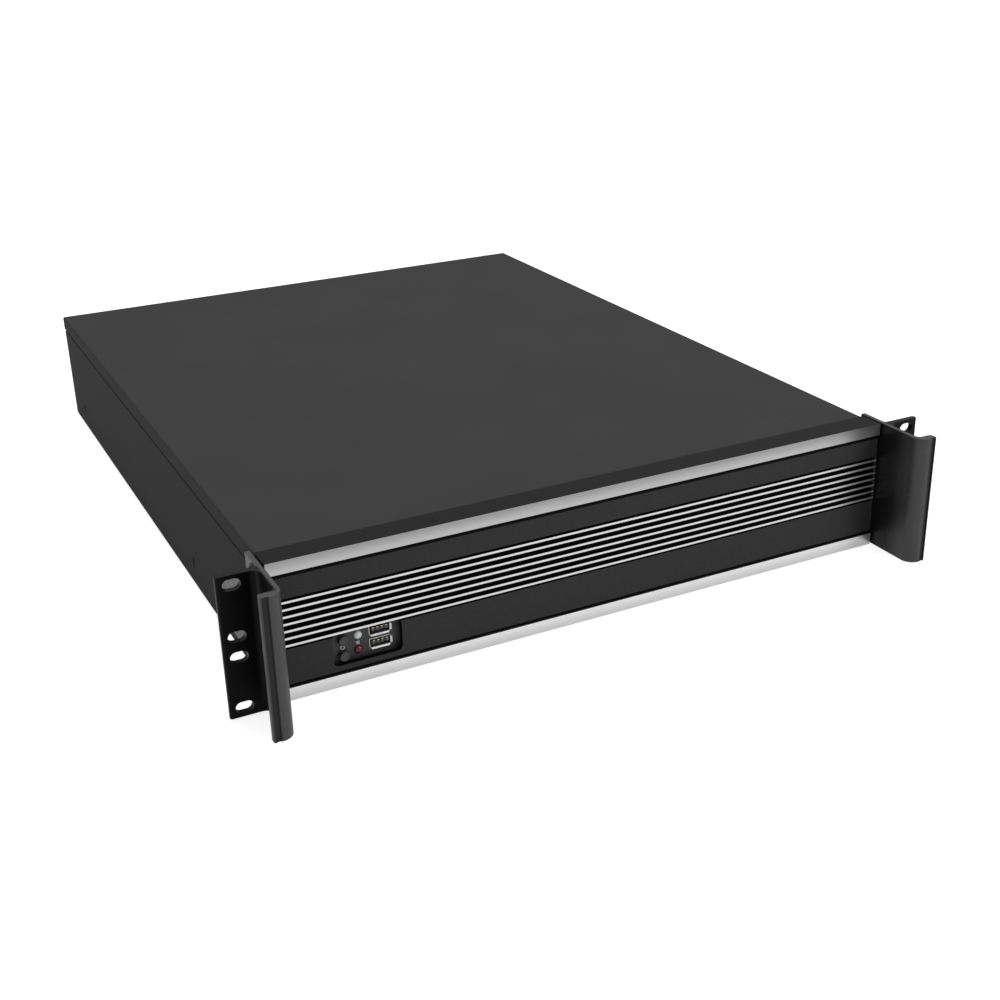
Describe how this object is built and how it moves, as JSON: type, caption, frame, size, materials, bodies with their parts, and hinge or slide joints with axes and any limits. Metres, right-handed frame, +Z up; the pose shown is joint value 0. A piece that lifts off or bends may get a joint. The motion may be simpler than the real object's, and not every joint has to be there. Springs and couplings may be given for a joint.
{
  "type": "rackmount server case",
  "caption": "Low rackmount server case: grooved extruded front with a control window, rack ears with hooked grips, sliding lid, drive cages, fan wall and card bay.",
  "frame": {"origin": "on the underside, midway between the ears, in the plane of the ears' rear faces", "axes": "+X to the case's right as seen from the front, +Y from front to back, +Z up"},
  "size_m": [0.4826, 0.5935, 0.088],
  "materials": {
    "front_anodised": "black anodised, fine matt grain; bands and ridges bare",
    "grip_anodised": "black anodised, fine matt grain",
    "case_paint": "black powder coat, satin",
    "zinc_sheet": "galvanised sheet",
    "fan_plastic": "moulded black",
    "rotor_plastic": "moulded black",
    "standoff_brass": "turned",
    "plate_plastic": "moulded black",
    "board_laminate": "green solder mask",
    "switch_plastic": "moulded",
    "button_plastic": "moulded, semi-gloss",
    "lamp_white": "water-clear resin",
    "lamp_red": "tinted resin",
    "socket_metal": "nickel plated",
    "tongue_plastic": "moulded",
    "thumb_steel": "nickel plated",
    "black_screw": "black zinc",
    "screw_steel": "zinc plated"
  },
  "bodies": {
    "case": {"front_panel": "front_anodised", "handle_left": "grip_anodised", "handle_right": "grip_anodised", "ear_bracket_left": "zinc_sheet", "ear_bracket_right": "zinc_sheet", "chassis_tray": "case_paint", "rear_panel": "zinc_sheet", "slot_cover_1": "zinc_sheet", "slot_cover_2": "zinc_sheet", "slot_cover_3": "zinc_sheet", "slot_cover_4": "zinc_sheet", "slot_cover_5": "zinc_sheet", "slot_cover_6": "zinc_sheet", "slot_cover_7": "zinc_sheet", "drive_cage_left": "zinc_sheet", "drive_cage_right": "zinc_sheet", "fan_wall": "zinc_sheet", "fan_frame_1": "fan_plastic", "fan_frame_2": "fan_plastic", "fan_frame_3": "fan_plastic", "supply_bracket": "zinc_sheet", "board_standoffs": "standoff_brass", "control_plate": "plate_plastic", "control_board": "board_laminate", "power_switch": "switch_plastic", "reset_switch": "switch_plastic", "status_lamp": "lamp_white", "drive_lamp": "lamp_red", "usb_shell_upper": "socket_metal", "usb_shell_lower": "socket_metal", "usb_tongue_upper": "tongue_plastic", "usb_tongue_lower": "tongue_plastic", "leg_screws": "black_screw", "ear_screws": "black_screw", "slot_screws": "screw_steel", "control_screws": "screw_steel", "board_screws": "screw_steel", "fan_screws": "screw_steel"},
    "lid": {"top_cover": "case_paint", "cover_screws": "thumb_steel"},
    "power_key": {"power_button": "button_plastic"},
    "reset_key": {"reset_button": "button_plastic"},
    "rotor_1": {"fan_rotor_1": "rotor_plastic"},
    "rotor_2": {"fan_rotor_2": "rotor_plastic"},
    "rotor_3": {"fan_rotor_3": "rotor_plastic"}
  },
  "joints": [
    {"name": "lid_slide", "type": "slide", "parent": "case", "child": "lid", "axis": [0, 1, 0], "range_m": [0, 0.26]},
    {"name": "power_press", "type": "slide", "parent": "case", "child": "power_key", "axis": [0, 1, 0], "range_m": [0, 0.0015], "stiffness_N_per_m": 700},
    {"name": "reset_press", "type": "slide", "parent": "case", "child": "reset_key", "axis": [0, 1, 0], "range_m": [0, 0.0015], "stiffness_N_per_m": 700},
    {"name": "rotor_1_spin", "type": "hinge", "parent": "case", "child": "rotor_1", "pos_m": [-0.118, 0.2137, 0.043], "axis": [0, 1, 0], "continuous": true},
    {"name": "rotor_2_spin", "type": "hinge", "parent": "case", "child": "rotor_2", "pos_m": [0, 0.2137, 0.043], "axis": [0, 1, 0], "continuous": true},
    {"name": "rotor_3_spin", "type": "hinge", "parent": "case", "child": "rotor_3", "pos_m": [0.118, 0.2137, 0.043], "axis": [0, 1, 0], "continuous": true}
  ]
}
